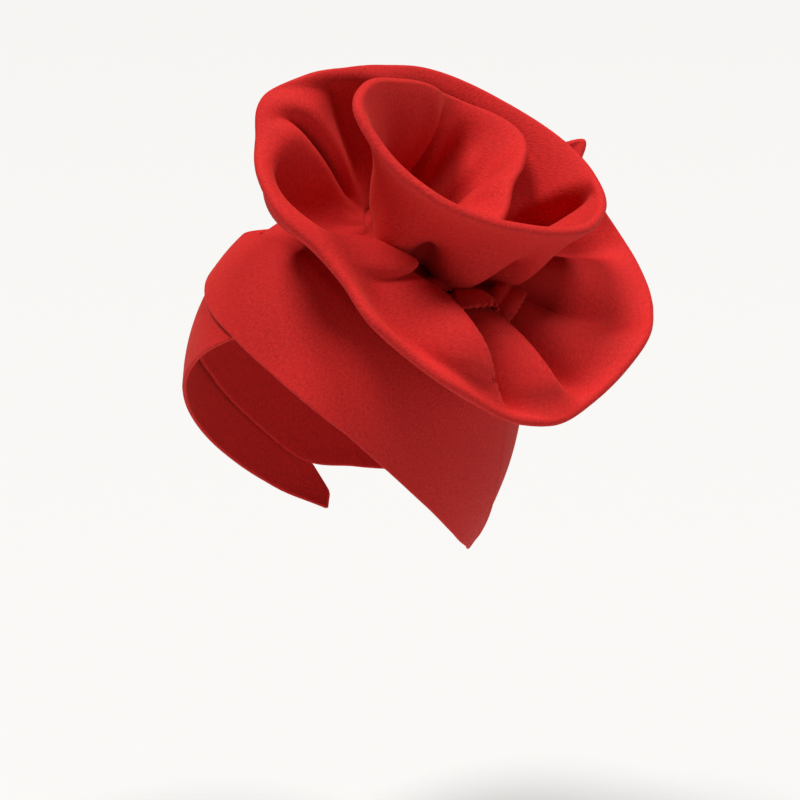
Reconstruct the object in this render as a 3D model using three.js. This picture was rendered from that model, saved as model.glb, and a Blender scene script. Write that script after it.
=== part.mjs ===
// Turban cap with a large ruffled rose, sewn from double scuba knit.
// Millimetres, +Z up, the face looks along -Y and the wearer's left is +X.
// The origin is the middle of the head hollow, at the head's widest level.

import * as THREE from 'three';
import { mergeVertices } from 'three/addons/utils/BufferGeometryUtils.js';

// Head form: half axes of the crown's outer face, with a longer one below the widest level
const HEAD = { side: 79, front: 99, up: 97, down: 122 };

// Cloth: thickness of a plain wall and of the doubled ruffle, the swell of its rolled rim,
// and the clearance that pieces lying on each other keep
const WALL = 2.2;
const RUFFLE_WALL = 3;
const RIM_SWELL = { rise: 1.1, width: 0.06 };
const CLEARANCE = 0.3;

// How far the edge of a wrap is pinched in on each face
const EDGE_PINCH = 0.55;

// Grid steps along and across each piece
const CROWN_STEPS = { along: 48, across: 9 };
const WRAP_STEPS = { along: 38, across: 7 };
const RUFFLE_STEPS = { along: 165, across: 10, finerAtRim: 1.15 };

// The rose sits on the upper left of the crown, its axis leaning to the wearer's left.
// Its strip winds inward, clockwise seen from outside, from a start at the back.
const ROSE_LEAN = THREE.MathUtils.degToRad(35);
const ROSE_START = 90;
const ROSE_TURN = 825;
const BASE_RADIUS = { outer: 33, heart: 8, power: 1.6 };

// Crown hem: latitude by longitude from the front, alike on both sides
const HEM = table(
  ['longitude', 'latitude'],
  [
    [0, 35],
    [30, 28],
    [60, 5],
    [85, -15],
    [105, -30],
    [130, -35],
    [180, -36],
  ],
);

// Upper wrap: its lower and upper edge on the head form, from its tucked end on the wearer's
// right, over the forehead, to the point behind the left ear. Lift is its height off the crown.
const OVER_WRAP = table(
  ['along', 'lowLongitude', 'lowLatitude', 'topLongitude', 'topLatitude', 'lift'],
  [
    [0.0, -104, 34, -108, 47, 0.3],
    [0.1, -84, 36, -87, 50, 1.4],
    [0.2, -60, 37, -62, 52, 3.8],
    [0.3, -36, 34, -38, 55, 4.2],
    [0.38, -14, 29, -16, 58, 3.3],
    [0.44, -1, 25.6, 0, 58.5, 3.1],
    [0.51, 15, 18.8, 15, 56, 3.1],
    [0.58, 27, 11.7, 28, 51, 3.1],
    [0.66, 40, 2.3, 41, 43, 1.4],
    [0.75, 55, -9, 60, 28, 0.3],
    [0.84, 71, -21.5, 86, 7, 0.3],
    [0.91, 85, -32, 103, -8, 0.3],
    [0.96, 95, -38, 108, -20, 0.3],
    [1.0, 106, -43.5, 108, -42, 0.3],
  ],
);

// Lower wrap: the same band from the wearer's left, under the upper wrap, to behind the
// right ear, written as seen in a mirror
const UNDER_WRAP = table(
  ['along', 'lowLongitude', 'lowLatitude', 'topLongitude', 'topLatitude', 'lift'],
  [
    [0.0, -24, 35, -24, 42, 0.3],
    [0.15, -13, 30, -14, 50, 0.3],
    [0.3, -1, 25.6, 0, 54, 0.3],
    [0.42, 15, 18.8, 15, 54, 0.3],
    [0.53, 27, 11.7, 28, 50, 0.3],
    [0.63, 40, 2.3, 41, 43, 0.3],
    [0.73, 55, -9, 60, 28, 0.3],
    [0.83, 71, -21.5, 86, 7, 0.3],
    [0.91, 85, -32, 103, -8, 0.3],
    [0.96, 95, -38, 108, -20, 0.3],
    [1.0, 106, -43.5, 108, -42, 0.3],
  ],
);

// Rim of the ruffle strip: distance from the rose's axis and height over its base,
// by the angle swept from the start
const RIM = table(
  ['sweep', 'out', 'up'],
  [
    [0, 98, 34],
    [3, 108, 38],
    [9, 110, 30],
    [22, 114, 18],
    [34, 119, 15],
    [50, 124, 14],
    [62, 124, 12],
    [71, 125, 1],
    [80, 123, -9],
    [89, 121, -17],
    [98, 113, -21],
    [110, 101, -18],
    [121, 97, -12],
    [134, 90, -8],
    [150, 89, 0],
    [164, 83, 6],
    [175, 86, 11],
    [185, 98, 18],
    [197, 103, 23],
    [212, 101, 28],
    [224, 100, 41],
    [231, 86, 53],
    [240, 70, 60],
    [257, 57, 62],
    [285, 53, 62],
    [332, 58, 60],
    [390, 72, 60],
    [412, 72, 60],
    [428, 66, 60],
    [445, 56, 60],
    [465, 50, 60],
    [490, 51, 61],
    [515, 60, 64],
    [539, 70, 68],
    [556, 76, 74],
    [568, 66, 76],
    [585, 46, 73],
    [610, 32, 69],
    [671, 30, 64],
    [717, 37, 62],
    [745, 30, 59],
    [785, 22, 53],
    [825, 18, 45],
  ],
);

// Belly: the point that the strip leans towards between its base and its rim
const BELLY = table(
  ['sweep', 'out', 'up'],
  [
    [0, 68, 18],
    [50, 72, 7],
    [75, 76, 2],
    [98, 70, 4],
    [150, 56, 4],
    [175, 54, 7],
    [197, 60, -2],
    [224, 58, 6],
    [240, 46, 18],
    [285, 40, 24],
    [332, 42, 24],
    [365, 47, 22],
    [390, 60, 18],
    [428, 78, 12],
    [450, 71, 15],
    [490, 54, 15],
    [556, 45, 12],
    [568, 42, 14],
    [585, 36, 22],
    [610, 30, 24],
    [717, 26, 24],
    [745, 22, 22],
    [785, 16, 20],
    [825, 12, 16],
  ],
);

// Dish: how far the strip dips just inside its rim, which curls up, and where across the
// strip it is deepest
const DISH_PLACE = { middle: 0.78, width: 0.14 };
const DISH = table(
  ['sweep', 'depth'],
  [
    [0, 0],
    [50, 2],
    [98, 6],
    [150, 6],
    [175, 2],
    [212, 4],
    [240, 0],
    [825, 0],
  ],
);

// Folds that run from the gathered base to the rim: where each crest leaves the base and
// reaches the rim in degrees of sweep, how wide it falls off before and after the crest,
// where along the strip's width it stands highest, and how far it rises from the inner face.
// A fold is wider in angle at its base.
const FOLD_SPREAD = 1.9;
const FOLD_START = 1.5;
const FOLDS = [
  { atBase: 10, atRim: 12, before: 8, after: 8, peak: 0.4, rise: -4 },
  { atBase: 30, atRim: 26, before: 4, after: 13, peak: 0.45, rise: 6 },
  { atBase: 70, atRim: 54, before: 5, after: 14, peak: 0.45, rise: 5 },
  { atBase: 90, atRim: 81, before: 3.5, after: 13, peak: 0.6, rise: 7 },
  { atBase: 108, atRim: 110, before: 3, after: 15, peak: 0.6, rise: 8 },
  { atBase: 138, atRim: 166, before: 5, after: 14, peak: 0.5, rise: 9 },
  { atBase: 182, atRim: 192, before: 9, after: 10, peak: 0.5, rise: -6 },
  { atBase: 206, atRim: 224, before: 13, after: 4, peak: 0.45, rise: 10 },
  { atBase: 228, atRim: 236, before: 8, after: 3, peak: 0.4, rise: 7 },
  { atBase: 262, atRim: 266, before: 7, after: 7, peak: 0.35, rise: -4 },
  { atBase: 296, atRim: 300, before: 8, after: 8, peak: 0.3, rise: 4 },
  { atBase: 330, atRim: 326, before: 9, after: 9, peak: 0.35, rise: -4 },
  { atBase: 364, atRim: 370, before: 8, after: 8, peak: 0.3, rise: 4 },
  { atBase: 426, atRim: 424, before: 7, after: 7, peak: 0.3, rise: 6 },
  { atBase: 462, atRim: 462, before: 9, after: 9, peak: 0.4, rise: -2 },
  { atBase: 503, atRim: 506, before: 8, after: 8, peak: 0.3, rise: 6 },
  { atBase: 622, atRim: 630, before: 9, after: 6, peak: 0.5, rise: 3 },
];

const scuba = new THREE.MeshStandardMaterial({ color: 0xc8252a, roughness: 0.85, metalness: 0 });

// A table keeps its columns by name
function table(names, rows) {
  return Object.fromEntries(names.map((name, index) => [name, rows.map((row) => row[index])]));
}

// Smooth value of a column at a place: a cubic through the rows, its slopes from the rows beside
function along(key, column, at) {
  const last = key.length - 2;
  let i = key.findIndex((value) => value > at) - 1;
  i = i < 0 ? (at <= key[0] ? 0 : last) : Math.min(i, last);
  const rise = (k) => (column[k + 1] - column[k]) / (key[k + 1] - key[k]);
  const slope = (k) => {
    if (k === 0) return rise(0);
    if (k === key.length - 1) return rise(k - 1);
    const before = key[k] - key[k - 1];
    const after = key[k + 1] - key[k];
    return (rise(k - 1) * after + rise(k) * before) / (before + after);
  };
  const span = key[i + 1] - key[i];
  const t = (at - key[i]) / span;
  const t2 = t * t;
  const t3 = t2 * t;
  return (2 * t3 - 3 * t2 + 1) * column[i] + (t3 - 2 * t2 + t) * span * slope(i)
    + (3 * t2 - 2 * t3) * column[i + 1] + (t3 - t2) * span * slope(i + 1);
}

// Point on the head form at a longitude from the front towards the wearer's left,
// a latitude, and a height off it
function headPoint(longitude, latitude, off) {
  const a = THREE.MathUtils.degToRad(longitude);
  const b = THREE.MathUtils.degToRad(latitude);
  const tall = latitude >= 0 ? HEAD.up : HEAD.down;
  return new THREE.Vector3(
    (HEAD.side + off) * Math.cos(b) * Math.sin(a),
    -(HEAD.front + off) * Math.cos(b) * Math.cos(a),
    (tall + off) * Math.sin(b),
  );
}

// Closed solid from cross sections, each a ring of as many points: the rings are joined in
// turn, and the first and last are joined to each other or capped
function loft(rings, joinsUp) {
  const size = rings[0].length;
  const positions = rings.flatMap((ring) => ring.flatMap((point) => point.toArray()));
  const triangles = [];
  const quad = (a, b, c, d) => triangles.push([a, b, c], [a, c, d]);
  const spans = joinsUp ? rings.length : rings.length - 1;
  for (let i = 0; i < spans; i += 1) {
    const here = i * size;
    const next = ((i + 1) % rings.length) * size;
    for (let j = 0; j < size; j += 1) {
      const k = (j + 1) % size;
      quad(here + j, here + k, next + k, next + j);
    }
  }
  if (!joinsUp) {
    const end = (rings.length - 1) * size;
    for (let j = 0; j < size / 2 - 1; j += 1) {
      const across = size - 1 - j;
      quad(j, across, across - 1, j + 1);
      quad(end + j, end + j + 1, end + across - 1, end + across);
    }
  }
  let geometry = new THREE.BufferGeometry();
  geometry.setAttribute('position', new THREE.Float32BufferAttribute(positions, 3));
  geometry.setIndex(triangles.flat());
  geometry = mergeVertices(geometry);
  const index = Array.from(geometry.index.array);
  const kept = [];
  for (let i = 0; i < index.length; i += 3) {
    const [a, b, c] = index.slice(i, i + 3);
    if (a !== b && b !== c && c !== a) kept.push(a, b, c);
  }
  geometry.setIndex(kept);
  geometry.computeVertexNormals();
  return geometry;
}

// Crown: a dome from the hem to the top, its ring running up the outside and down the inside
function crownGeometry() {
  const { along: around, across } = CROWN_STEPS;
  const rings = [];
  for (let i = 0; i < around; i += 1) {
    const longitude = -180 + (360 * i) / around;
    const hem = along(HEM.longitude, HEM.latitude, Math.abs(longitude));
    const outside = [];
    const inside = [];
    for (let j = 0; j <= across; j += 1) {
      const latitude = hem + ((90 - hem) * j) / across;
      outside.push(headPoint(longitude, latitude, 0));
      inside.unshift(headPoint(longitude, latitude, -WALL));
    }
    rings.push([...inside, ...outside].reverse());
  }
  return loft(rings, true);
}

// Wrap: a band between its lower and upper edge, with softly rounded edges
function wrapGeometry(edges, side) {
  const { along: steps, across } = WRAP_STEPS;
  const rings = [];
  for (let i = 0; i <= steps; i += 1) {
    const s = i / steps;
    const at = (name) => along(edges.along, edges[name], s);
    const place = (t, off) => {
      const longitude = at('lowLongitude') + (at('topLongitude') - at('lowLongitude')) * t;
      const latitude = at('lowLatitude') + (at('topLatitude') - at('lowLatitude')) * t;
      const point = headPoint(longitude, latitude, at('lift') + off);
      point.x *= side;
      return point;
    };
    const outside = [];
    const inside = [];
    for (let j = 0; j <= across; j += 1) {
      const t = j / across;
      const edge = j === 0 || j === across ? EDGE_PINCH : 0;
      outside.push(place(t, WALL - edge));
      inside.unshift(place(t, edge));
    }
    const ring = [...outside, ...inside];
    rings.push(side > 0 ? ring.reverse() : ring);
  }
  return loft(rings, false);
}

// Height of the crown over the rose's base plane, at a distance and direction from its axis
function crownUnderRose(out, turn) {
  const axes = [HEAD.side, HEAD.front, HEAD.up];
  const start = rosePlace(out, turn, 0).toArray().map((value, k) => value / axes[k]);
  const rise = ROSE_AXIS.toArray().map((value, k) => value / axes[k]);
  const dot = (p, q) => p[0] * q[0] + p[1] * q[1] + p[2] * q[2];
  const a = dot(rise, rise);
  const b = 2 * dot(start, rise);
  const c = dot(start, start) - 1;
  return (-b + Math.sqrt(b * b - 4 * a * c)) / (2 * a);
}

// The rose's base is where its axis meets the crown at a right angle
const ROSE_AXIS = new THREE.Vector3(Math.sin(ROSE_LEAN), 0, Math.cos(ROSE_LEAN));
const ROSE_DOWN = new THREE.Vector3(Math.cos(ROSE_LEAN), 0, -Math.sin(ROSE_LEAN));
const ROSE_BACK = new THREE.Vector3(0, 1, 0);
const ROSE_REACH = Math.hypot(HEAD.side * ROSE_AXIS.x, HEAD.up * ROSE_AXIS.z);
const ROSE_BASE = new THREE.Vector3(
  (HEAD.side ** 2 * ROSE_AXIS.x) / ROSE_REACH,
  0,
  (HEAD.up ** 2 * ROSE_AXIS.z) / ROSE_REACH,
);

// Place in the rose's own frame: out from the axis in a direction, and up along the axis
function rosePlace(out, turn, up) {
  return ROSE_BASE.clone()
    .addScaledVector(ROSE_DOWN, out * Math.cos(turn))
    .addScaledVector(ROSE_BACK, out * Math.sin(turn))
    .addScaledVector(ROSE_AXIS, up);
}

// Middle of the ruffle strip: a curve from its base by its belly to its rim, dished by the rim
function ruffleMiddle(sweep, v) {
  const turn = THREE.MathUtils.degToRad(ROSE_START - sweep);
  const share = Math.max(sweep, 0) / ROSE_TURN;
  const base = BASE_RADIUS.outer
    - (BASE_RADIUS.outer - BASE_RADIUS.heart) * share ** BASE_RADIUS.power;
  const belly = { out: along(BELLY.sweep, BELLY.out, sweep), up: along(BELLY.sweep, BELLY.up, sweep) };
  const rim = { out: along(RIM.sweep, RIM.out, sweep), up: along(RIM.sweep, RIM.up, sweep) };
  const crown = crownUnderRose(base, turn);
  const lean = Math.atan2(belly.up - crown, belly.out - base);
  const foot = crown + CLEARANCE + (RUFFLE_WALL / 2) * Math.cos(lean);
  const dip = Math.exp(-(((v - DISH_PLACE.middle) / DISH_PLACE.width) ** 2));
  const dish = along(DISH.sweep, DISH.depth, sweep) * dip;
  const w = 1 - v;
  const out = w * w * base + 2 * w * v * belly.out + v * v * rim.out;
  const up = w * w * foot + 2 * w * v * belly.up + v * v * rim.up - dish;
  return rosePlace(out, turn, up);
}

// Rise of the folds at a place on the strip: nothing at the base and rim, all at the peak
function foldRise(sweep, v) {
  return FOLDS.reduce((sum, fold) => {
    const x = sweep - (fold.atBase + (fold.atRim - fold.atBase) * v);
    const spread = FOLD_SPREAD + (1 - FOLD_SPREAD) * v;
    const width = (x < 0 ? fold.before : fold.after) * spread;
    const fall = (FOLD_START * (1 - fold.peak)) / fold.peak;
    const reach = (v / fold.peak) ** FOLD_START * ((1 - v) / (1 - fold.peak)) ** fall;
    return sum + fold.rise * reach * Math.exp(-((x / width) ** 2));
  }, 0);
}

// Keeps a point of the strip just off the crown that it lies on
function offCrown(point) {
  const tall = point.z >= 0 ? HEAD.up : HEAD.down;
  const scale = Math.hypot(point.x / HEAD.side, point.y / HEAD.front, point.z / tall);
  const least = 1 + CLEARANCE / HEAD.side;
  return scale < least ? point.multiplyScalar(least / scale) : point;
}

// Direction of the strip's inner face, which looks up and towards the rose's axis, from the
// places a little before and after this one
const BESIDE = { sweep: 0.5, v: 0.01 };
function ruffleNormal(sweep, v, surface) {
  const du = surface(sweep + BESIDE.sweep, v).sub(surface(sweep - BESIDE.sweep, v));
  const dv = surface(sweep, Math.min(v + BESIDE.v, 1)).sub(surface(sweep, Math.max(v - BESIDE.v, 0)));
  return du.cross(dv).normalize();
}

// Ruffle: the strip's ring runs out along its inner face, round the rolled rim and back
function ruffleGeometry() {
  const { along: steps, across, finerAtRim } = RUFFLE_STEPS;
  const folded = (sweep, v) => {
    const point = ruffleMiddle(sweep, v);
    const normal = ruffleNormal(sweep, v, ruffleMiddle);
    return point.addScaledVector(normal, foldRise(sweep, v));
  };
  const rings = [];
  for (let i = 0; i <= steps; i += 1) {
    const sweep = (ROSE_TURN * i) / steps;
    const inner = [];
    const outer = [];
    for (let j = 0; j <= across; j += 1) {
      const v = 1 - (1 - j / across) ** finerAtRim;
      const middle = folded(sweep, v);
      const normal = ruffleNormal(sweep, v, folded);
      const swell = RIM_SWELL.rise * Math.exp(-(((1 - v) / RIM_SWELL.width) ** 2));
      const half = RUFFLE_WALL / 2 + swell;
      inner.push(offCrown(middle.clone().addScaledVector(normal, half)));
      outer.unshift(offCrown(middle.clone().addScaledVector(normal, -half)));
    }
    const nose = folded(sweep, 1).sub(folded(sweep, 1 - BESIDE.v)).normalize();
    inner.push(folded(sweep, 1).addScaledVector(nose, RUFFLE_WALL / 2));
    rings.push([...inner, ...outer].reverse());
  }
  return loft(rings, false);
}

const cap = new THREE.Group();
const pieces = {
  crown: crownGeometry(),
  under_wrap: wrapGeometry(UNDER_WRAP, -1),
  over_wrap: wrapGeometry(OVER_WRAP, 1),
  ruffle_rose: ruffleGeometry(),
};
for (const [name, geometry] of Object.entries(pieces)) {
  const mesh = new THREE.Mesh(geometry, scuba.clone());
  mesh.name = name;
  cap.add(mesh);
}

export default cap;
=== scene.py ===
import bmesh
import bpy
import numpy as np
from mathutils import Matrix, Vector


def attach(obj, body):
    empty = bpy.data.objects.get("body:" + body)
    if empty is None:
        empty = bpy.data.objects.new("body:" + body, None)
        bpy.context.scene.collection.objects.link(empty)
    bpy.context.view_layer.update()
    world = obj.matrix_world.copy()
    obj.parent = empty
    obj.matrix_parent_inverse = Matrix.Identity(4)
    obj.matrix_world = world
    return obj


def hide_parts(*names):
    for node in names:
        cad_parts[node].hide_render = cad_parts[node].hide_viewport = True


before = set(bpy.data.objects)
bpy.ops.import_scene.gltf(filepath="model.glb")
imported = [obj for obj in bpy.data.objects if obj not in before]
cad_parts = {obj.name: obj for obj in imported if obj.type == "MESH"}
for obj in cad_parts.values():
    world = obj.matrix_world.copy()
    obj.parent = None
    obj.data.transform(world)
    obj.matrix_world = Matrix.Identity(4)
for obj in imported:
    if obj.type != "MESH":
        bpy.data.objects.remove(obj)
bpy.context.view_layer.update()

# Crown: a close-fitting dome of scuba double knit that takes the head and carries all the rest.
# Cut from the same cloth as the bands, open for the face and below, its hem turned in.
# Lengths are in millimetres until a mesh is made, as the piece is drawn on the cutting table.
HEAD = {"side": 79, "front": 99, "up": 97, "down": 122}
HEAD_RADIUS = 88.48
POLE_LATITUDE = 89.9
WALL = 2.2
HEM = {
    "columns": ("longitude", "latitude"),
    "rows": [(0, 35), (30, 28), (60, 5), (85, -15), (105, -30), (130, -35), (180, -36)],
}
HEM_ROLL = {"swell": 0.5, "degrees": 3}
CROWN_GRID = {"around": 320, "up": 90}
EDGE_DEGREES = 80
NAPE_EASE = {
    "depth": 0.5,
    "waves": 9,
    "slant": 14,
    "latitude": -30,
    "height": 16,
    "from_longitude": 120,
    "full_after": 50,
}


def smooth(table, name, at):
    """A column's value at a place in the table's first column: a cubic through the rows, whose
    slope at a row is the mean of the slopes beside it, weighted by the other one's length."""
    rows = np.array(table["rows"], float)
    key, column = rows[:, 0], rows[:, table["columns"].index(name)]
    step = np.diff(key)
    rise = np.diff(column) / step
    inner = (rise[:-1] * step[1:] + rise[1:] * step[:-1]) / (step[:-1] + step[1:])
    slope = np.concatenate([rise[:1], inner, rise[-1:]])
    i = np.clip(np.searchsorted(key, at, "right") - 1, 0, len(key) - 2)
    t = (at - key[i]) / step[i]
    return (
        (2 * t**3 - 3 * t**2 + 1) * column[i]
        + (t**3 - 2 * t**2 + t) * step[i] * slope[i]
        + (3 * t**2 - 2 * t**3) * column[i + 1]
        + (t**3 - t**2) * step[i] * slope[i + 1]
    )


def head_points(longitude, latitude, off):
    """Points on the head form: an ellipsoid with half axes from HEAD, each made longer by off,
    at a longitude from the front towards the wearer's left and a latitude, in degrees."""
    a, b = np.radians(longitude), np.radians(latitude)
    tall = np.where(latitude >= 0, HEAD["up"], HEAD["down"])
    return np.stack(
        [
            (HEAD["side"] + off) * np.cos(b) * np.sin(a),
            -(HEAD["front"] + off) * np.cos(b) * np.cos(a),
            (tall + off) * np.sin(b),
        ],
        -1,
    )


def unit(vectors):
    """Each vector divided by its own length."""
    return vectors / np.maximum(np.linalg.norm(vectors, axis=-1, keepdims=True), 1e-9)


def wall_rings(middle, half, rounded=6):
    """Cross sections of a wall whose middle is a grid of points: out along one face, half a
    circle round the far edge, back along the other face and round the near edge. half is the
    wall's half thickness at each point."""
    across = unit(np.gradient(middle, axis=1))
    normal = unit(np.cross(np.gradient(middle, axis=0), across))
    angle = np.radians(np.linspace(EDGE_DEGREES, -EDGE_DEGREES, rounded))[None, :, None]

    def edge(k, out):
        turn = np.cos(angle) * out * across[:, k, None] + np.sin(angle) * normal[:, k, None]
        return middle[:, k, None] + half[:, k, None, None] * turn

    step = normal * half[..., None]
    far, near = edge(-1, 1), edge(0, -1)[:, ::-1]
    return np.concatenate([middle + step, far, (middle - step)[:, ::-1], near], axis=1)


def ring_widths(width, half, rounded=6):
    """Where each point of wall_rings lies across the flat cloth: its place on the face, then on
    by the length of the rounded edge, over the other face and round the near edge."""
    turn = np.linspace(0, np.pi, rounded + 2)[1:-1]
    far = width[:, -1:] + half[:, -1:] * turn
    back = 2 * width[:, -1:] + np.pi * half[:, -1:] - width[:, ::-1]
    near = back[:, -1:] + half[:, :1] * turn
    return np.concatenate([width, far, back, near], axis=1)


def cloth_mesh(name, rings, length, width, joined=False):
    """A closed shell from a row of rings. Point j of a ring meets point j of the next, and the
    last ring meets the first or both are capped by faces across the wall. length and width are
    each point's place on the flat cloth, and become the UV map in metres; a joined shell's length
    has one row more. Faces whose corners give the shell a negative volume are turned round."""
    count, size = rings.shape[:2]
    spans = count if joined else count - 1
    i, j = np.meshgrid(np.arange(spans), np.arange(size), indexing="ij")
    corner_i = np.stack([i, i, i + 1, i + 1], -1).reshape(-1, 4)
    corner_j = np.stack([j, j + 1, j + 1, j], -1).reshape(-1, 4) % size
    if not joined:
        k = np.arange(size // 2 - 1)
        cap = np.stack([k, size - 1 - k, size - 2 - k, k + 1], -1)
        corner_j = np.concatenate([corner_j, cap, cap[:, ::-1]])
        corner_i = np.concatenate([corner_i, 0 * cap, 0 * cap + count - 1])
    points = rings.reshape(-1, 3) / 1000
    faces = (corner_i % count) * size + corner_j
    a, b, c, d = (points[faces[:, n]] for n in range(4))
    volume = (a * np.cross(b, c)).sum() + (a * np.cross(c, d)).sum()
    if volume < 0:
        faces, corner_i, corner_j = faces[:, ::-1], corner_i[:, ::-1], corner_j[:, ::-1]
    mesh = bpy.data.meshes.new(name)
    mesh.from_pydata(points.tolist(), [], faces.tolist())
    uv = np.stack([length[corner_i, corner_j], width[corner_i % count, corner_j]], -1) / 1000
    layer = mesh.uv_layers.new(name="cloth")
    layer.data.foreach_set("uv", uv.astype(np.float32).ravel())
    welded = bmesh.new()
    welded.from_mesh(mesh)
    bmesh.ops.remove_doubles(welded, verts=welded.verts, dist=1e-6)
    bmesh.ops.dissolve_degenerate(welded, edges=welded.edges, dist=1e-6)
    welded.to_mesh(mesh)
    welded.free()
    mesh.shade_smooth()
    piece = bpy.data.objects.new(name, mesh)
    bpy.context.scene.collection.objects.link(piece)
    return piece


def crown_rings():
    """The dome's wall: a grid in longitude and latitude from the hem to the pole on the head
    form, half a wall inside its outer face, drawn in by shallow slanting waves round the nape and
    swollen a little at the hem. It ends just short of the pole, where the wall's rounded edge
    closes it, and its flat length is taken round the head form's mean radius."""
    around, up = CROWN_GRID["around"], CROWN_GRID["up"]
    longitude = np.linspace(-180, 180, around, endpoint=False)[:, None]
    hem = smooth(HEM, "latitude", np.abs(longitude))
    t = np.linspace(0, 1, up)[None, :]
    latitude = hem + (POLE_LATITUDE - hem) * t
    back = (np.abs(longitude) - NAPE_EASE["from_longitude"]) / NAPE_EASE["full_after"]
    near = np.exp(-(((latitude - NAPE_EASE["latitude"]) / NAPE_EASE["height"]) ** 2))
    wave = np.sin(np.radians(longitude) * NAPE_EASE["waves"] + latitude / NAPE_EASE["slant"])
    drawn_in = NAPE_EASE["depth"] * np.clip(back, 0, 1) * near * (1 + wave) / 2
    middle = head_points(longitude, latitude, -WALL / 2 - drawn_in)
    swell = HEM_ROLL["swell"] * np.exp(-(((latitude - hem) / HEM_ROLL["degrees"]) ** 2))
    half = np.broadcast_to((WALL - HEM_ROLL["swell"] + swell) / 2, middle.shape[:2])
    closed = np.concatenate([middle[-1:], middle, middle[:1]])
    rings = wall_rings(closed, np.pad(half, ((1, 1), (0, 0)), "wrap"))[1:-1]
    length = np.radians(np.append(longitude[:, 0], 180))[:, None] * HEAD_RADIUS
    width = np.radians(latitude) * HEAD["up"]
    return rings, np.broadcast_to(length, (around + 1, rings.shape[1])), ring_widths(width, half)


def linear(hex_colour):
    """An sRGB hex colour as linear red, green, blue and a full alpha."""
    srgb = np.array([int(hex_colour[i : i + 2], 16) for i in (1, 3, 5)]) / 255
    low = srgb <= 0.04045
    return (*np.where(low, srgb / 12.92, ((srgb + 0.055) / 1.055) ** 2.4), 1)


def add_node(tree, kind, settings=(), inputs=()):
    """A node with its settings and its inputs, each a value or another node's socket."""
    node = tree.nodes.new(kind)
    for name, value in dict(settings).items():
        setattr(node, name, value)
    for name, value in dict(inputs).items():
        if isinstance(value, bpy.types.NodeSocket):
            tree.links.new(value, node.inputs[name])
        else:
            node.inputs[name].default_value = value
    return node


# Scuba double knit: a smooth, springy polyester jersey, piece-dyed red. It gives the eye a matte
# face with a fine slanting grain, soft light edges where its nap catches the light, and depth
# in the folds. The grain's tone is partly painted light: raised stitches take the lit colour and
# the hollows between them a darker painted shade. Its stitches are 0.6 mm apart, drawn at 0.9 mm so that
# they show.
SCUBA = {"body": "#C61A19", "lit": "#DE2C27", "painted_shade": "#A61110", "nap": "#FF6450"}
STITCH_MM = {"across": 0.9, "along": 2.6}
STITCH_SLANT = 38
STITCH_RELIEF = {"Strength": 0.5, "Distance": 0.0004}
GRAIN_MM = 0.8
GRAIN_SHARE = 0.8
TONE_RANGE = {"From Min": 0.6, "From Max": 1.2}
MOTTLE_MM = 14
MOTTLE_SHARE = 0.7
SCUBA_FINISH = {
    "Roughness": 0.82,
    "Specular IOR Level": 0.25,
    "Sheen Weight": 0.22,
    "Sheen Roughness": 0.45,
    "Sheen Tint": linear(SCUBA["nap"]),
}


def scuba_double_knit(name):
    """Noise drawn out along a slant on the flat cloth makes the rows of stitches, and a finer one
    breaks them up; their height drives the bump and the colour. The colour is the grain's tone with
    painted light in it: raised stitches lighter as if lit, the hollows between them darker as
    painted shade. A broad one mottles the dye."""
    material = bpy.data.materials.new(name)
    material.use_nodes = True
    tree = material.node_tree
    shader = tree.nodes["Principled BSDF"]
    cloth = add_node(tree, "ShaderNodeUVMap", {"uv_map": "cloth"})
    turned = add_node(
        tree,
        "ShaderNodeMapping",
        inputs={"Vector": cloth.outputs["UV"], "Rotation": (0, 0, np.radians(STITCH_SLANT))},
    )
    drawn_out = add_node(
        tree,
        "ShaderNodeMapping",
        inputs={
            "Vector": turned.outputs["Vector"],
            "Scale": (1000 / STITCH_MM["across"], 1000 / STITCH_MM["along"], 1),
        },
    )
    stitches = add_node(
        tree,
        "ShaderNodeTexNoise",
        inputs={"Vector": drawn_out.outputs["Vector"], "Scale": 1.0, "Detail": 2.0, "Roughness": 0.6},
    )
    grain = add_node(
        tree,
        "ShaderNodeTexNoise",
        inputs={"Vector": cloth.outputs["UV"], "Scale": 1000 / GRAIN_MM, "Detail": 2.0, "Roughness": 0.7},
    )
    height = add_node(
        tree,
        "ShaderNodeMath",
        {"operation": "MULTIPLY_ADD"},
        {0: grain.outputs["Fac"], 1: GRAIN_SHARE, 2: stitches.outputs["Fac"]},
    )
    tone = add_node(
        tree,
        "ShaderNodeMapRange",
        inputs={"Value": height.outputs["Value"], **TONE_RANGE},
    )
    # Painted highlight and shade on the stitches: by stitch height, raised ones take the lit colour and
    # the hollows the darker painted shade.
    stitch_grain_and_painted_shade = add_node(
        tree,
        "ShaderNodeMix",
        {"data_type": "RGBA"},
        {0: tone.outputs["Result"], 6: linear(SCUBA["painted_shade"]), 7: linear(SCUBA["lit"])},
    )
    mottle = add_node(
        tree,
        "ShaderNodeTexNoise",
        inputs={"Vector": cloth.outputs["UV"], "Scale": 1000 / MOTTLE_MM, "Detail": 2.0},
    )
    worn = add_node(
        tree,
        "ShaderNodeMath",
        {"operation": "MULTIPLY"},
        {0: mottle.outputs["Fac"], 1: MOTTLE_SHARE},
    )
    colour = add_node(
        tree,
        "ShaderNodeMix",
        {"data_type": "RGBA"},
        {0: worn.outputs["Value"], 6: stitch_grain_and_painted_shade.outputs[2], 7: linear(SCUBA["body"])},
    )
    bump = add_node(
        tree,
        "ShaderNodeBump",
        inputs={"Height": height.outputs["Value"], **STITCH_RELIEF},
    )
    tree.links.new(colour.outputs[2], shader.inputs["Base Color"])
    tree.links.new(bump.outputs["Normal"], shader.inputs["Normal"])
    for socket, value in SCUBA_FINISH.items():
        shader.inputs[socket].default_value = value
    return material


scuba = scuba_double_knit("scuba_double_knit")
crown = cloth_mesh("crown_dome", *crown_rings(), joined=True)
crown.data.materials.append(scuba)
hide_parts("crown")
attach(crown, "root")

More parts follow.
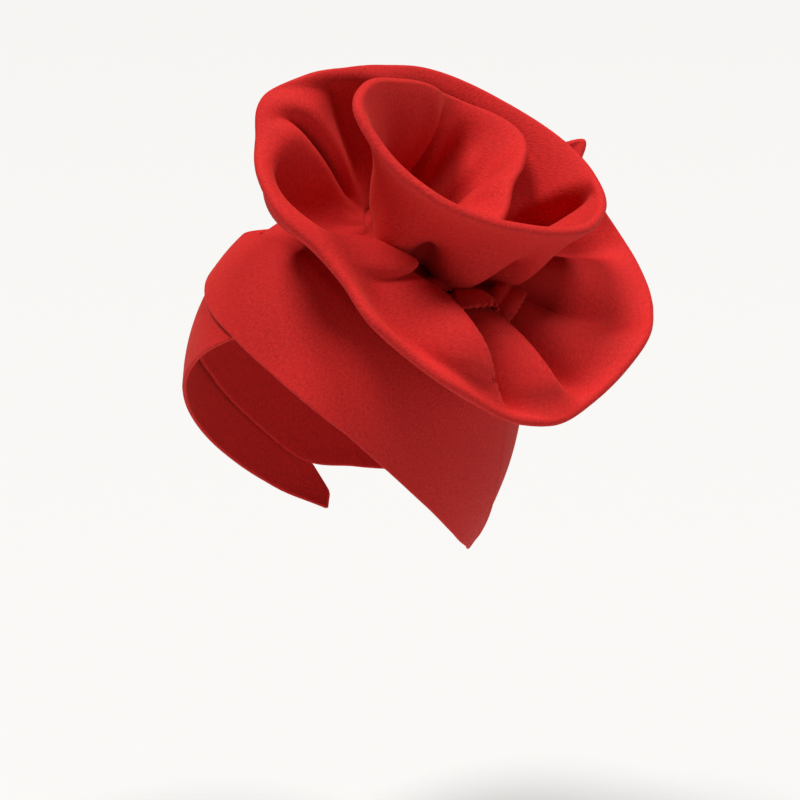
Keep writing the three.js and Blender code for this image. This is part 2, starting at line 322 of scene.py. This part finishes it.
# Bands: two doubled bands of the same knit that cross over the forehead and run down to a point
# behind the ears. Each is a tube pressed flat, so its edges are soft folds without a stitch, and
# it is sewn to the crown at its tucked end and behind the ear.
BAND_WALL = 2.2
BAND_ROLL = {"swell": 0.4, "reach": 3}
BAND_GRID = {"along": 420, "across": 46}
BAND_DOWN = {"from": 0.84, "lift": 0.3}
OVER_BAND = {
    "columns": ("along", "low_longitude", "low_latitude", "top_longitude", "top_latitude", "lift"),
    "rows": [
        (0, -104, 34, -108, 47, 0.3),
        (0.1, -84, 36, -87, 50, 1.4),
        (0.2, -60, 37, -62, 52, 3.8),
        (0.3, -36, 34, -38, 55, 4.2),
        (0.38, -14, 29, -16, 58, 3.3),
        (0.44, -1, 25.6, 0, 58.5, 3.1),
        (0.51, 15, 18.8, 15, 56, 3.1),
        (0.58, 27, 11.7, 28, 51, 3.1),
        (0.66, 40, 2.3, 41, 43, 1.4),
        (0.75, 55, -9, 60, 28, 0.3),
        (0.84, 71, -21.5, 86, 7, 0.3),
        (0.91, 86, -32.5, 103, -8, 0.3),
        (0.96, 98, -39.5, 107, -26, 0.3),
        (1, 115, -46.5, 117, -42.5, 0.3),
    ],
}
UNDER_BAND = {
    "columns": ("along", "low_longitude", "low_latitude", "top_longitude", "top_latitude", "lift"),
    "rows": [
        (0, -24, 35, -24, 42, 0.3),
        (0.15, -13, 30, -14, 50, 0.3),
        (0.3, -1, 25.6, 0, 54, 0.3),
        (0.42, 15, 18.8, 15, 54, 0.3),
        (0.53, 27, 11.7, 28, 50, 0.3),
        (0.63, 40, 2.3, 41, 43, 0.9),
        (0.73, 55, -9, 60, 28, 1.8),
        (0.83, 71, -21.5, 86, 7, 1.6),
        (0.91, 86, -32.5, 103, -8, 0.6),
        (0.96, 98, -39.5, 107, -26, 0.3),
        (1, 115, -46.5, 117, -42.5, 0.3),
    ],
}
THINNEST_END = 0.05


def run_along(middle, axis):
    """The way from a grid's first edge to each of its points, summed from point to point."""
    steps = np.diff(middle, axis=axis, prepend=np.take(middle, [0], axis=axis))
    return np.cumsum(np.linalg.norm(steps, axis=-1), axis=axis)


def end_taper(run, reach):
    """Share of the half thickness left near both ends of a run: a quarter circle over the reach,
    so that each end closes in a round edge."""
    near = np.clip(np.minimum(run, run[-1:] - run) / reach, 0, 1)
    return np.maximum(np.sqrt(1 - (1 - near) ** 2), THINNEST_END)


def band_rings(table, side):
    """The band's wall between its lower and upper edge on the head form, its edges swollen into
    soft folds and its ends closed. side is 1 for a band that ends on the wearer's left, and -1
    for one that is mirrored to end on the right."""
    s = np.linspace(0, 1, BAND_GRID["along"])[:, None]
    t = np.linspace(0, 1, BAND_GRID["across"])[None, :]
    at = {name: smooth(table, name, s) for name in table["columns"][1:]}
    longitude = at["low_longitude"] + (at["top_longitude"] - at["low_longitude"]) * t
    latitude = at["low_latitude"] + (at["top_latitude"] - at["low_latitude"]) * t
    down = np.clip((t - BAND_DOWN["from"]) / (1 - BAND_DOWN["from"]), 0, 1)
    lift = at["lift"] + (BAND_DOWN["lift"] - at["lift"]) * down * down * (3 - 2 * down)
    middle = head_points(longitude, latitude, lift + BAND_WALL / 2) * [side, 1, 1]
    along = run_along(middle, axis=0)
    across = run_along(middle, axis=1)
    edge = np.minimum(across, across[:, -1:] - across)
    swell = BAND_ROLL["swell"] * np.exp(-((edge / BAND_ROLL["reach"]) ** 2))
    half = (BAND_WALL - BAND_ROLL["swell"] + swell) / 2 * end_taper(along, BAND_WALL)
    rings = wall_rings(middle, half)
    length = np.broadcast_to(along.mean(axis=1)[:, None], rings.shape[:2])
    return rings, length, ring_widths(across - across[:, -1:] / 2, half)


over_band = cloth_mesh("over_band", *band_rings(OVER_BAND, 1))
over_band.data.materials.append(scuba)
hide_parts("over_wrap")
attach(over_band, "root")

under_band = cloth_mesh("under_band", *band_rings(UNDER_BAND, -1))
under_band.data.materials.append(scuba)
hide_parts("under_wrap")
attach(under_band, "root")

# Rose: one long strip of the knit, doubled so that its fold makes the rolled rim, gathered on a
# thread along its raw edges and wound inward about two and a quarter times on the upper left of
# the crown. The outer turn lies open as a ruffle, the next stands as a cup, the last is the heart.
STRIP_WALL = 3
STRIP_GRID = {"along": 1100, "across": 36, "finer_at_rim": 1.3}
STRIP_END = 4.5
STRIP_ROUNDED = 8
RIM_SWELL = {"rise": 1.1, "width": 0.13}
ROSE_LEAN = np.radians(35)
ROSE_START = 90
ROSE_TURN = 825
SEAT_GAP = 0.3
CROWN_CLEARANCE = 0.2
BASE = {
    "columns": ("sweep", "out"),
    "rows": [
        (0, 33), (120, 32), (240, 29.5), (360, 26.5), (424, 24.5), (514, 21.5), (604, 21), (650, 19),
        (690, 15), (720, 11), (760, 6), (825, 4),
    ],
}
BELLY = {
    "columns": ("sweep", "out", "up"),
    "rows": [
        (0, 68, 18), (50, 72, 7), (75, 76, 2), (98, 70, 4), (150, 56, 4), (175, 54, 7),
        (197, 68, -2), (224, 62, 6), (240, 46, 18), (285, 40, 24), (332, 42, 24), (365, 47, 22),
        (390, 60, 18), (428, 78, 12), (450, 71, 15), (490, 54, 15), (556, 45, 12), (568, 42, 14),
        (585, 35, 22), (610, 30, 25), (650, 28, 25), (717, 22, 26), (745, 13, 28), (785, 9, 26),
        (825, 9, 24),
    ],
}
RIM = {
    "columns": ("sweep", "out", "up"),
    "rows": [
        (0, 84, 44), (3, 92, 50), (9, 89, 42), (15, 98, 31), (22, 113, 20), (34, 122, 15),
        (50, 125, 14), (62, 124, 12), (71, 122, 1), (80, 120, -9), (89, 118, -17), (98, 110, -21),
        (110, 100, -18), (121, 97, -12), (134, 90, -8), (150, 89, 0), (164, 83, 6), (175, 86, 11),
        (185, 98, 18), (197, 102, 23), (212, 99, 28), (224, 98, 41), (231, 84, 52), (240, 69, 58),
        (257, 57, 60), (285, 53, 59), (332, 56, 56), (390, 71, 57), (412, 72, 58), (428, 69, 56),
        (445, 61, 54), (465, 56, 54), (490, 57, 55), (515, 65, 59), (539, 72, 65), (556, 76, 73),
        (568, 66, 75), (585, 46, 73), (610, 32, 69), (671, 41, 53), (717, 44, 54), (745, 32, 53),
        (785, 26, 50), (825, 40, 41),
    ],
}
ROLL = {
    "columns": ("sweep", "down", "out", "start"),
    "rows": [
        (0, 0, 0, 0.78), (30, -2, 0, 0.78), (50, -5, 0, 0.78), (75, -10, 0, 0.78),
        (98, -10, 0, 0.78), (140, -8, 0, 0.78), (165, -1, 0, 0.78), (185, 7, 1, 0.78),
        (205, 13, 3, 0.78), (225, 15, 6, 0.78), (240, 12, 7, 0.78), (262, 7, 6, 0.78),
        (300, 3, 5, 0.78), (360, 3, 4, 0.75), (400, 4, 6, 0.7), (424, 6, 11, 0.64),
        (480, 8, 17, 0.58), (540, 8, 18, 0.58), (575, 8, 18, 0.62), (605, 7, 15, 0.66),
        (640, 5, 8, 0.7), (700, 3, 3, 0.75), (825, 1, 2, 0.78),
    ],
}
FOLDS = {
    "columns": ("at_base", "at_rim", "before", "after", "peak", "rise", "lean"),
    "rows": [
        (10, 12, 8, 8, 0.4, -6, 0),
        (34, 27, 4, 4, 0.62, -9, 0),
        (50, 40, 9, 9, 0.55, 9, 0),
        (66, 53, 5, 4, 0.62, -10, 0),
        (80, 66, 6, 7, 0.55, 9, 0),
        (94, 77, 4, 4, 0.6, -8, 0),
        (112, 85, 4, 9, 0.66, 15, -0.5),
        (130, 98, 4, 4, 0.65, -9, 0),
        (150, 104, 3.5, 14, 0.64, 17, -0.5),
        (153, 174, 4, 14, 0.36, 11, -0.7),
        (204, 201, 11, 8, 0.6, -17, 0),
        (225, 213.5, 9, 3, 0.55, 13, 0.1),
        (229.5, 217.5, 3, 3, 0.5, -11, 0),
        (234, 221, 3, 4, 0.62, 12, 0.1),
        (245, 233, 6, 10, 0.6, -12, 0),
        (264, 268, 7, 7, 0.35, 4, 0),
        (296, 300, 8, 8, 0.3, -4, 0),
        (330, 326, 9, 9, 0.35, 4, 0),
        (364, 370, 8, 8, 0.3, -4, 0),
        (386, 397, 4, 5, 0.65, -13, 0),
        (410, 412, 8, 9, 0.5, 6, 0),
        (430, 428, 9, 8, 0.22, -7, 0),
        (442, 447, 5, 5, 0.32, 13, 0),
        (468, 468, 8, 8, 0.22, -8, 0),
        (498, 500, 7, 8, 0.24, 13, 0),
        (524, 522, 9, 9, 0.22, -8, 0),
        (622, 630, 9, 6, 0.5, 3, 0),
        (641, 646, 7, 7, 0.5, -4, 0),
        (655, 662, 7, 8, 0.5, 3, 0),
        (676, 680, 9, 9, 0.5, -3, 0),
        (700, 706, 9, 9, 0.45, 3, 0),
        (735, 740, 10, 10, 0.5, -3, 0),
    ],
}
FOLD_WIDER_AT_BASE = 1.9
FOLD_CURVE = 2.0
GATHER = {"depth": 0.9, "pitch": 7.5, "radius": 24, "reach": 0.16, "falloff": 1.5, "starts_over": 0.02}
GATHER_WANDER = {
    "columns": ("amount", "rate", "start"),
    "rows": [(2.1, 1.7, 0), (1.3, 0.63, 1)],
}
EASE_RISE = 0.45
EASE_WAVES = {
    "columns": ("share", "along", "across", "start"),
    "rows": [(1, 3.1, 4, 0), (0.7, 7.3, -5, 1), (0.5, 12.7, 9, 2)],
}

rose_axis = np.array([np.sin(ROSE_LEAN), 0, np.cos(ROSE_LEAN)])
rose_down = np.array([np.cos(ROSE_LEAN), 0, -np.sin(ROSE_LEAN)])
rose_back = np.array([0, 1, 0])
rose_reach = np.hypot(HEAD["side"] * rose_axis[0], HEAD["up"] * rose_axis[2])
rose_base = np.array([HEAD["side"] ** 2 * rose_axis[0], 0, HEAD["up"] ** 2 * rose_axis[2]]) / rose_reach


def rose_points(out, turn, up):
    """Points in the rose's own frame: out from its axis in a direction, and up along it."""
    return (
        rose_base
        + (out * np.cos(turn))[..., None] * rose_down
        + (out * np.sin(turn))[..., None] * rose_back
        + up[..., None] * rose_axis
    )


def crown_under_rose(out, turn):
    """Height of the crown over the rose's base plane: where a line along the rose's axis leaves
    the head form, the larger root of a quadratic."""
    axes = np.array([HEAD["side"], HEAD["front"], HEAD["up"]])
    start = rose_points(out, turn, np.zeros_like(out)) / axes
    rise = rose_axis / axes
    a = rise @ rise
    b = 2 * start @ rise
    c = (start**2).sum(-1) - 1
    return (-b + np.sqrt(b**2 - 4 * a * c)) / (2 * a)


def strip_middle(sweep, v):
    """Middle of the strip by sweep in degrees and place v from its foot, 0, to its rim, 1: a
    quadratic curve from the foot on the crown, pulled towards the belly, to the rim. A roll turns
    the rim over and leaves it in its place: the curve first stands in and up by the roll times
    the square of v, and past the roll's start comes out and down again by a second square."""
    turn = np.radians(ROSE_START - sweep)
    base = smooth(BASE, "out", sweep)
    belly = {k: smooth(BELLY, k, sweep) for k in ("out", "up")}
    rim = {k: smooth(RIM, k, sweep) for k in ("out", "up")}
    roll = {k: smooth(ROLL, k, sweep) for k in ("out", "down", "start")}
    crown_height = crown_under_rose(base, turn)
    lean = np.arctan2(belly["up"] - crown_height, belly["out"] - base)
    foot = crown_height + SEAT_GAP + (STRIP_WALL / 2) * np.cos(lean)
    w = 1 - v
    rolled = np.clip((v - roll["start"]) / (1 - roll["start"]), 0, 1) ** 2 - v * v
    out = w * w * base + 2 * w * v * belly["out"] + v * v * rim["out"] + roll["out"] * rolled
    up = w * w * foot + 2 * w * v * belly["up"] + v * v * rim["up"] - roll["down"] * rolled
    return rose_points(out, turn + 0 * v, up)


def fold_rise(sweep, v):
    """Height and sideways shift of the folds. Each is a crest that runs from the base to the rim,
    falling off before and after it as a bell that is wider at the base, with no height at the
    base and rim and all of it at its peak; a leaning fold shifts sideways by a share of it."""
    rise = np.zeros(np.broadcast(sweep, v).shape)
    shift = np.zeros_like(rise)
    for base, rim, before, after, peak, height, lean in FOLDS["rows"]:
        x = sweep - (base + (rim - base) * v)
        width = np.where(x < 0, before, after) * (FOLD_WIDER_AT_BASE + (1 - FOLD_WIDER_AT_BASE) * v)
        fall = FOLD_CURVE * (1 - peak) / peak
        reach = (v / peak) ** FOLD_CURVE * ((1 - v) / (1 - peak)) ** fall
        one = height * reach * np.exp(-((x / width) ** 2))
        rise = rise + one
        shift = shift + lean * one
    return rise, shift


def gather_rise(sweep, v):
    """Small pleats of the gathering thread: a wave along the base that dies out up the strip,
    its pitch wandering by two slower waves."""
    pleats = np.radians(sweep) * GATHER["radius"] / GATHER["pitch"]
    phase = 2 * np.pi * pleats
    for amount, rate, start in GATHER_WANDER["rows"]:
        phase = phase + amount * np.sin(pleats * rate + start)
    left = np.exp(-((v / GATHER["reach"]) ** GATHER["falloff"]))
    return GATHER["depth"] * np.sin(phase) * left * np.clip(v / GATHER["starts_over"], 0, 1)


def ease_rise(sweep, v):
    """Uneven lie of soft cloth: three slow crossing waves, strongest across the strip's middle."""
    a = np.radians(sweep)
    waves = 0
    for share, along, across, start in EASE_WAVES["rows"]:
        waves = waves + share * np.sin(along * a + across * v + start)
    return EASE_RISE * waves * 4 * v * (1 - v)


def off_crown(points):
    """Points kept just outside the crown's outer face, by growing them away from the middle of
    the head form."""
    tall = np.where(points[..., 2] >= 0, HEAD["up"], HEAD["down"])
    side, front, up = points[..., 0] / HEAD["side"], points[..., 1] / HEAD["front"], points[..., 2] / tall
    scale = np.sqrt(side**2 + front**2 + up**2)
    least = 1 + CROWN_CLEARANCE / HEAD["side"]
    return points * np.maximum(least / scale, 1)[..., None]


def strip_surface(sweep, v):
    """The strip's middle on a grid: the middle curve by sweep and place across, raised by folds,
    gathers and ease along its normal and shifted by the folds' lean."""
    middle = strip_middle(sweep, v)
    sideways = unit(np.gradient(middle, axis=0))
    normal = unit(np.cross(sideways, np.gradient(middle, axis=1)))
    rise, shift = fold_rise(sweep, v)
    rise = rise + gather_rise(sweep, v) + ease_rise(sweep, v)
    return middle + normal * rise[..., None] + sideways * shift[..., None]


def strip_rings():
    """The strip's wall: its surface as long as its sweep, its rim swollen into a soft roll and
    its ends closed. Its flat length is the run at two thirds of the way to the rim."""
    sweep = np.linspace(0, ROSE_TURN, STRIP_GRID["along"])[:, None]
    v = (1 - (1 - np.linspace(0, 1, STRIP_GRID["across"])) ** STRIP_GRID["finer_at_rim"])[None, :]
    middle = strip_surface(*np.broadcast_arrays(sweep, v))
    half = STRIP_WALL / 2 + RIM_SWELL["rise"] * np.exp(-(((1 - v) / RIM_SWELL["width"]) ** 2))
    run = run_along(middle, axis=0)
    across = run_along(middle, axis=1)
    half = half * end_taper(run, STRIP_END)
    rings = off_crown(wall_rings(middle, half, STRIP_ROUNDED))
    two_thirds = STRIP_GRID["across"] * 2 // 3
    length = np.broadcast_to(run[:, two_thirds, None], rings.shape[:2])
    return rings, length, ring_widths(across - across[:, -1:], half, STRIP_ROUNDED)


rose = cloth_mesh("ruffle_strip", *strip_rings())
rose.data.materials.append(scuba)
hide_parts("ruffle_rose")
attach(rose, "root")

# Gathered edge: where the cup is sewn to the ruffle, the pulled-up raw edges of the strip stick out
# as small flaps that lie over each other like a braid. Each is a stub of the same doubled cloth.
TABS = {
    "columns": ("from_sweep", "to_sweep", "from_v", "to_v", "width", "lift"),
    "rows": [
        (104, 126, 0.17, 0.12, 0.09, 3.4),
        (86, 114, 0.31, 0.29, 0.13, 4.4),
        (72, 94, 0.31, 0.36, 0.09, 5.0),
        (70, 88, 0.23, 0.27, 0.07, 5.6),
    ],
}
TAB_WALL = 2.4
TAB_GRID = {"along": 48, "across": 10}
TAB_BOW = 1.6
TAB_END_WIDTH = 0.75
FRAY = {"depth": 0.22, "waves": 13, "reach": 0.0012, "outer_share": 0.25}


def tab_rings(from_sweep, to_sweep, from_v, to_v, width, lift):
    """A flap that follows the strip's surface from one place to another, a lift above it, bowed
    up in the middle and narrower at its ends, with a ragged edge on its outer side."""
    s = np.linspace(0, 1, TAB_GRID["along"])[:, None]
    t = np.linspace(-0.5, 0.5, TAB_GRID["across"])[None, :]
    sweep = from_sweep + (to_sweep - from_sweep) * s + 0 * t
    outer = np.clip((t + FRAY["outer_share"] - 0.5) / FRAY["outer_share"], 0, 1)
    wave = np.sin(s * 2 * np.pi * FRAY["waves"]) * outer
    v = from_v + (to_v - from_v) * s + FRAY["reach"] * wave
    v = v + width * t * (TAB_END_WIDTH + (1 - TAB_END_WIDTH) * np.sin(np.pi * s))
    middle = strip_surface(sweep, v)
    normal = unit(np.cross(np.gradient(middle, axis=0), np.gradient(middle, axis=1)))
    rise = lift + TAB_BOW * np.sin(np.pi * s) * (1 - 4 * t * t)
    middle = middle + normal * rise[..., None]
    run = run_along(middle, axis=0)
    half = TAB_WALL / 2 * (1 + FRAY["depth"] * wave) * end_taper(run, TAB_WALL / 2)
    rings = wall_rings(middle, half)
    length = np.broadcast_to(run[:, :1], rings.shape[:2])
    return rings, length, ring_widths(run_along(middle, axis=1), half)


tabs = [cloth_mesh("gathered_edge", *tab_rings(*place)) for place in TABS["rows"]]
with bpy.context.temp_override(active_object=tabs[0], selected_editable_objects=tabs):
    bpy.ops.object.join()
gathered = tabs[0]
gathered.data.materials.append(scuba)
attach(gathered, "root")

# Floor: a plain studio floor of matte pale paper, in metres, below the cap, which is held up as a
# head holds it. It gives the eye a soft, even ground that takes a faint shadow.
FLOOR_Z = -0.34
FLOOR_HALF = 30
PAPER = "#D8D7D5"
PAPER_ROUGHNESS = 0.9

floor_mesh = bpy.data.meshes.new("studio_floor")
corners = [(x * FLOOR_HALF, y * FLOOR_HALF, FLOOR_Z) for x, y in ((-1, -1), (1, -1), (1, 1), (-1, 1))]
floor_mesh.from_pydata(corners, [], [(0, 1, 2, 3)])
floor = bpy.data.objects.new("studio_floor", floor_mesh)
bpy.context.scene.collection.objects.link(floor)
paper = bpy.data.materials.new("pale_paper")
paper.use_nodes = True
paper.node_tree.nodes["Principled BSDF"].inputs["Base Color"].default_value = linear(PAPER)
paper.node_tree.nodes["Principled BSDF"].inputs["Roughness"].default_value = PAPER_ROUGHNESS
floor_mesh.materials.append(paper)

# Studio light: two broad, distant lights from high in front, one over each shoulder of the camera,
# so that the shadows are soft. The pale room is seen by the camera alone and lights nothing.
CAMERA_RIGHT = np.array([0.766, 0.643, 0.0])
CAMERA_UP = np.array([-0.177, 0.211, 0.961])
CAMERA_BACK = np.array([0.618, -0.736, 0.276])
LIGHTS = {
    "key": {"right": -0.2, "up": 0.8, "back": 0.5, "power": 2.8},
    "side": {"right": 0.3, "up": 0.85, "back": 0.45, "power": 1.9},
}
LIGHT_ANGLE = 0.3
LIT_POINT = (0.04, 0, 0.04)
ROOM = "#F4F3F1"


def point_at(thing, target):
    """Turns a light or camera so that it looks at the target, with up held up."""
    look = Vector(target) - thing.location
    thing.rotation_mode = "QUATERNION"
    thing.rotation_quaternion = look.to_track_quat("-Z", "Y")


for name, place in LIGHTS.items():
    lamp = bpy.data.lights.new(name, "SUN")
    lamp.angle = LIGHT_ANGLE
    lamp.energy = place["power"]
    light = bpy.data.objects.new(name, lamp)
    bpy.context.scene.collection.objects.link(light)
    light.location = CAMERA_RIGHT * place["right"] + CAMERA_UP * place["up"] + CAMERA_BACK * place["back"]
    point_at(light, LIT_POINT)

world = bpy.data.worlds.new("pale_room")
world.use_nodes = True
world.node_tree.nodes["Background"].inputs["Color"].default_value = linear(ROOM)
world.node_tree.nodes["Background"].inputs["Strength"].default_value = 1.0
world.cycles_visibility.diffuse = False
world.cycles_visibility.glossy = False
bpy.context.scene.world = world
bpy.context.scene.view_settings.view_transform = "Standard"

# Camera: three quarters from the wearer's left front, a little above the brow, a metre away, in
# metres, aimed a little right of and below the middle of the head form.
CAMERA_DISTANCE = 1.0
CAMERA_LENS = 85.5
AIM = CAMERA_RIGHT * 0.021 - CAMERA_UP * 0.010

lens = bpy.data.cameras.new("camera")
lens.lens = CAMERA_LENS
camera = bpy.data.objects.new("camera", lens)
bpy.context.scene.collection.objects.link(camera)
camera.location = AIM + CAMERA_BACK * CAMERA_DISTANCE
point_at(camera, AIM)
bpy.context.scene.camera = camera
